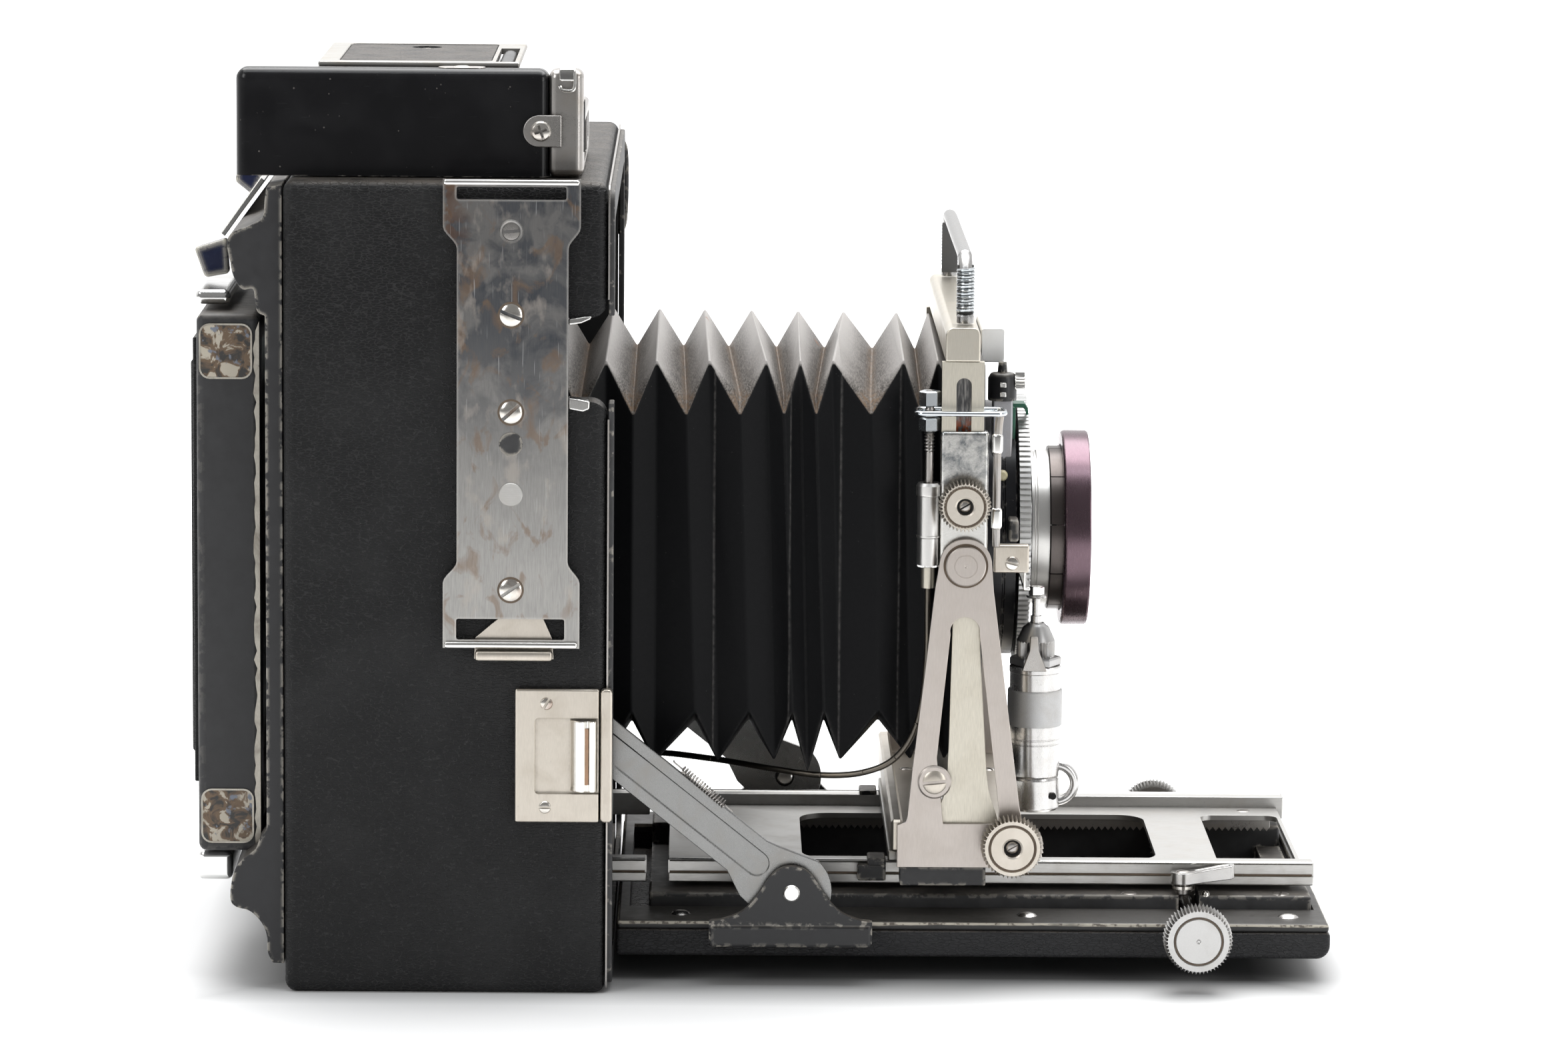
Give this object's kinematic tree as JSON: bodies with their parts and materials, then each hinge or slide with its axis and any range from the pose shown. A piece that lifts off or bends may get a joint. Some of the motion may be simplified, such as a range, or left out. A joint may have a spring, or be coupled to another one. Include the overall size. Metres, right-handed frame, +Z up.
{
  "type": "large format press camera",
  "caption": "Folding large format press camera with drop bed, pleated bellows, tilting front standard, shutter and lens, top rangefinder and spring back",
  "frame": {"origin": "middle of the casing's flat bottom, on the tripod seat", "axes": "+X from the back towards the lens, +Y towards the operator's left-hand side, +Z up"},
  "size_m": [0.2706, 0.1724, 0.2171],
  "materials": {
    "body_leatherette": "black grained leatherette over the metal casing",
    "trim_steel": "worn satin metal edge",
    "strap_steel": "satin steel with rust freckles",
    "latch_chrome": "satin chrome",
    "release_nickel": "satin nickel",
    "trigger_nickel": "satin nickel worn to brass on the ridge",
    "finder_black": "black gloss paint",
    "finder_front": "satin metal bezel",
    "finder_top": "satin frame round a leather panel",
    "arm_steel": "plain metal",
    "back_black": "black paint worn to bluish grey",
    "panel_black": "black paint, chipped at the corners",
    "screen_glass": "ground glass",
    "navy_latch": "dark blue-black gloss",
    "rail_aluminium": "satin aluminium",
    "bellows_cloth": "black pleated cloth, dusty on top",
    "bed_leatherette": "black leatherette with a worn painted rim",
    "bracket_paint": "black paint worn to cream at the edge",
    "strut_chrome": "bright nickel plate",
    "track_black": "black paint",
    "shaft_steel": "plain steel",
    "knob_nickel": "satin nickel, scalloped edge",
    "stop_black": "black metal, worn edges",
    "standard_nickel": "warm satin nickel",
    "slide_steel": "dark satin metal",
    "sleeve_chrome": "chrome with dark blotches",
    "board_black": "black crackle paint",
    "shutter_black": "black gloss paint",
    "blade_steel": "dark steel blades",
    "ring_nickel": "knurled satin nickel",
    "barrel_chrome": "satin chrome",
    "filter_purple": "brushed purple anodised",
    "lens_glass": "coated lens glass",
    "pointer_green": "dark green enamel",
    "solenoid_chrome": "satin chrome with a grey collar",
    "cable_sheath": "close-wound steel sheath"
  },
  "bodies": {
    "camera_body": {"body_shell": "body_leatherette", "front_trim": "trim_steel", "flash_plate": "strap_steel", "release_plate": "release_nickel", "rangefinder_housing": "finder_black", "rangefinder_front": "finder_front", "rangefinder_top": "finder_top", "back_frame": "back_black", "inner_rails": "rail_aluminium", "bellows": "bellows_cloth", "cable_release": "cable_sheath"},
    "flash_catch": {"flash_latch": "latch_chrome"},
    "trigger": {"release_trigger": "trigger_nickel"},
    "mirror_arm": {"rangefinder_arm": "arm_steel"},
    "spring_back": {"focusing_panel": "panel_black", "ground_glass": "screen_glass"},
    "hood_lid": {"hood_cover": "panel_black"},
    "holder_slide_top": {"holder_lock_top": "latch_chrome"},
    "holder_slide_bottom": {"holder_lock_bottom": "latch_chrome"},
    "back_catch": {"back_latch": "navy_latch"},
    "drop_bed": {"bed": "bed_leatherette", "bed_bracket_near": "bracket_paint", "bed_bracket_far": "bracket_paint", "track_base": "track_black"},
    "brace_near": {"strut_near": "strut_chrome"},
    "brace_far": {"strut_far": "strut_chrome"},
    "track": {"focus_track": "rail_aluminium"},
    "focus_drive": {"focus_shaft": "shaft_steel", "focus_knob_near": "knob_nickel", "focus_knob_far": "knob_nickel"},
    "lock_lever": {"track_lock": "latch_chrome"},
    "stop_near": {"infinity_stop_near": "stop_black"},
    "stop_far": {"infinity_stop_far": "stop_black"},
    "standard_carriage": {"carriage": "standard_nickel"},
    "shift_plate": {"cross_slide": "slide_steel"},
    "swing_base": {"swing_yoke": "standard_nickel", "side_plate_near": "standard_nickel", "side_plate_far": "standard_nickel"},
    "tilt_knob_near": {"base_knob_near": "knob_nickel"},
    "tilt_knob_far": {"base_knob_far": "knob_nickel"},
    "tilt_u": {"tilt_frame": "sleeve_chrome"},
    "lift_knob_near": {"rise_knob_near": "knob_nickel"},
    "lift_knob_far": {"rise_knob_far": "knob_nickel"},
    "lens_carrier": {"lens_frame": "standard_nickel", "lens_board": "board_black", "shutter_body": "shutter_black", "shutter_blades": "blade_steel", "lens_barrel": "barrel_chrome", "filter_ring": "filter_purple", "front_glass": "lens_glass", "solenoid": "solenoid_chrome"},
    "bail": {"top_bail": "latch_chrome"},
    "board_clip": {"board_latch": "latch_chrome"},
    "speed_dial": {"speed_ring": "ring_nickel"},
    "pointer": {"aperture_pointer": "pointer_green"},
    "cocking": {"cocking_lever": "board_black"},
    "plunger": {"solenoid_plunger": "solenoid_chrome"},
    "release": {"release_rod": "latch_chrome", "release_link": "release_nickel"}
  },
  "joints": [
    {"name": "flash_catch_slide", "type": "slide", "parent": "camera_body", "child": "flash_catch", "axis": [0, 0, -1], "range_m": [0, 0.003], "stiffness_N_per_m": 300, "springref_m": -0.001},
    {"name": "trigger_slide", "type": "slide", "parent": "camera_body", "child": "trigger", "axis": [-1, 0, 0], "range_m": [0, 0.005], "stiffness_N_per_m": 200, "springref_m": -0.001},
    {"name": "mirror_arm_turn", "type": "hinge", "parent": "camera_body", "child": "mirror_arm", "pos_m": [-0.014, -0.0198, 0.196], "axis": [0, 0, 1], "range_deg": [0, 5.5]},
    {"name": "spring_back_slide", "type": "slide", "parent": "camera_body", "child": "spring_back", "axis": [-1, 0, 0], "range_m": [0, 0.008], "stiffness_N_per_m": 800, "springref_m": -0.004},
    {"name": "hood_hinge", "type": "hinge", "parent": "spring_back", "child": "hood_lid", "pos_m": [-0.0593, 0, 0.1526], "axis": [0, 1, 0], "range_deg": [0, 95]},
    {"name": "holder_slide_top_move", "type": "slide", "parent": "camera_body", "child": "holder_slide_top", "axis": [0, 1, 0], "range_m": [0, 0.006]},
    {"name": "holder_slide_bottom_move", "type": "slide", "parent": "camera_body", "child": "holder_slide_bottom", "axis": [0, 1, 0], "range_m": [0, 0.006]},
    {"name": "back_catch_hinge", "type": "hinge", "parent": "camera_body", "child": "back_catch", "pos_m": [-0.045, 0, 0.1876], "axis": [0, 1, 0], "range_deg": [0, 35], "stiffness_Nm_per_rad": 0.05, "springref_deg": -5.73},
    {"name": "bed_drop", "type": "hinge", "parent": "camera_body", "child": "drop_bed", "pos_m": [0.041, 0, 0.0065], "axis": [0, 1, 0], "range_deg": [0, 15], "deforming": ["bellows", "cable_release"]},
    {"name": "brace_turn_near", "type": "hinge", "parent": "drop_bed", "child": "brace_near", "pos_m": [0.0808, -0.071, 0.0225], "axis": [0, 1, 0], "range_deg": [-11, 1]},
    {"name": "brace_turn_far", "type": "hinge", "parent": "drop_bed", "child": "brace_far", "pos_m": [0.0808, 0.071, 0.0225], "axis": [0, 1, 0], "range_deg": [-11, 1]},
    {"name": "focus_slide", "type": "slide", "parent": "drop_bed", "child": "track", "axis": [1, 0, 0], "range_m": [0, 0.022], "deforming": ["bellows", "cable_release"]},
    {"name": "focus_turn", "type": "hinge", "parent": "drop_bed", "child": "focus_drive", "pos_m": [0.1766, 0, 0.0128], "axis": [0, 1, 0], "range_deg": [0, 282]},
    {"name": "lock_lever_turn", "type": "hinge", "parent": "drop_bed", "child": "lock_lever", "pos_m": [0.1746, -0.047, 0.019], "axis": [0, 0, 1], "range_deg": [-60, 0]},
    {"name": "stop_fold_near", "type": "hinge", "parent": "track", "child": "stop_near", "pos_m": [0.1, -0.0466, 0.0196], "axis": [1, 0, 0], "range_deg": [0, 90]},
    {"name": "stop_fold_far", "type": "hinge", "parent": "track", "child": "stop_far", "pos_m": [0.1, 0.0466, 0.0196], "axis": [-1, 0, 0], "range_deg": [0, 90]},
    {"name": "carriage_slide", "type": "slide", "parent": "track", "child": "standard_carriage", "axis": [1, 0, 0], "range_m": [0, 0.04], "deforming": ["bellows", "cable_release"]},
    {"name": "shift_slide", "type": "slide", "parent": "standard_carriage", "child": "shift_plate", "axis": [0, 1, 0], "range_m": [-0.008, 0.008], "deforming": ["bellows", "cable_release"]},
    {"name": "swing_turn", "type": "hinge", "parent": "shift_plate", "child": "swing_base", "pos_m": [0.1215, 0, 0.028], "axis": [0, 0, 1], "range_deg": [-8, 8], "deforming": ["bellows", "cable_release"]},
    {"name": "tilt_knob_turn_near", "type": "hinge", "parent": "swing_base", "child": "tilt_knob_near", "pos_m": [0.1331, -0.064, 0.0322], "axis": [0, 1, 0], "range_deg": [0, 90]},
    {"name": "tilt_knob_turn_far", "type": "hinge", "parent": "swing_base", "child": "tilt_knob_far", "pos_m": [0.1331, 0.064, 0.0322], "axis": [0, 1, 0], "range_deg": [0, 90]},
    {"name": "tilt_turn", "type": "hinge", "parent": "swing_base", "child": "tilt_u", "pos_m": [0.1215, 0, 0.0987], "axis": [0, 1, 0], "range_deg": [-15, 0], "deforming": ["bellows", "cable_release"]},
    {"name": "lift_knob_turn_near", "type": "hinge", "parent": "tilt_u", "child": "lift_knob_near", "pos_m": [0.121, -0.062, 0.1134], "axis": [0, 1, 0], "range_deg": [0, 90]},
    {"name": "lift_knob_turn_far", "type": "hinge", "parent": "tilt_u", "child": "lift_knob_far", "pos_m": [0.121, 0.062, 0.1134], "axis": [0, 1, 0], "range_deg": [0, 90]},
    {"name": "rise_slide", "type": "slide", "parent": "tilt_u", "child": "lens_carrier", "axis": [0, 0, 1], "range_m": [0, 0.015], "deforming": ["bellows", "cable_release"]},
    {"name": "bail_fold", "type": "hinge", "parent": "lens_carrier", "child": "bail", "pos_m": [0.1209, 0, 0.1574], "axis": [0, 1, 0], "range_deg": [-80, 0]},
    {"name": "board_clip_slide", "type": "slide", "parent": "lens_carrier", "child": "board_clip", "axis": [0, 0, 1], "range_m": [0, 0.004]},
    {"name": "speed_turn", "type": "hinge", "parent": "lens_carrier", "child": "speed_dial", "pos_m": [0.138, 0, 0.099], "axis": [1, 0, 0], "range_deg": [-30, 30]},
    {"name": "pointer_turn", "type": "hinge", "parent": "lens_carrier", "child": "pointer", "pos_m": [0.137, 0, 0.099], "axis": [1, 0, 0], "range_deg": [-30, 0]},
    {"name": "cocking_turn", "type": "hinge", "parent": "lens_carrier", "child": "cocking", "pos_m": [0.134, 0, 0.099], "axis": [1, 0, 0], "range_deg": [-25, 0], "stiffness_Nm_per_rad": 0.02, "springref_deg": 2.86},
    {"name": "plunger_slide", "type": "slide", "parent": "lens_carrier", "child": "plunger", "axis": [0, 0, 1], "range_m": [0, 0.0025], "stiffness_N_per_m": 100, "springref_m": -0.001},
    {"name": "release_slide", "type": "slide", "parent": "lens_carrier", "child": "release", "axis": [0, 0, -1], "range_m": [0, 0.003], "stiffness_N_per_m": 200, "springref_m": -0.001, "deforming": ["cable_release"]}
  ],
  "couplings": [
    {"joint": "brace_turn_near", "follows": "bed_drop", "ratio": -0.68},
    {"joint": "brace_turn_far", "follows": "bed_drop", "ratio": -0.68},
    {"joint": "focus_turn", "follows": "focus_slide", "rad_per_m": 222.22},
    {"joint": "mirror_arm_turn", "follows": "focus_slide", "rad_per_m": 4}
  ]
}
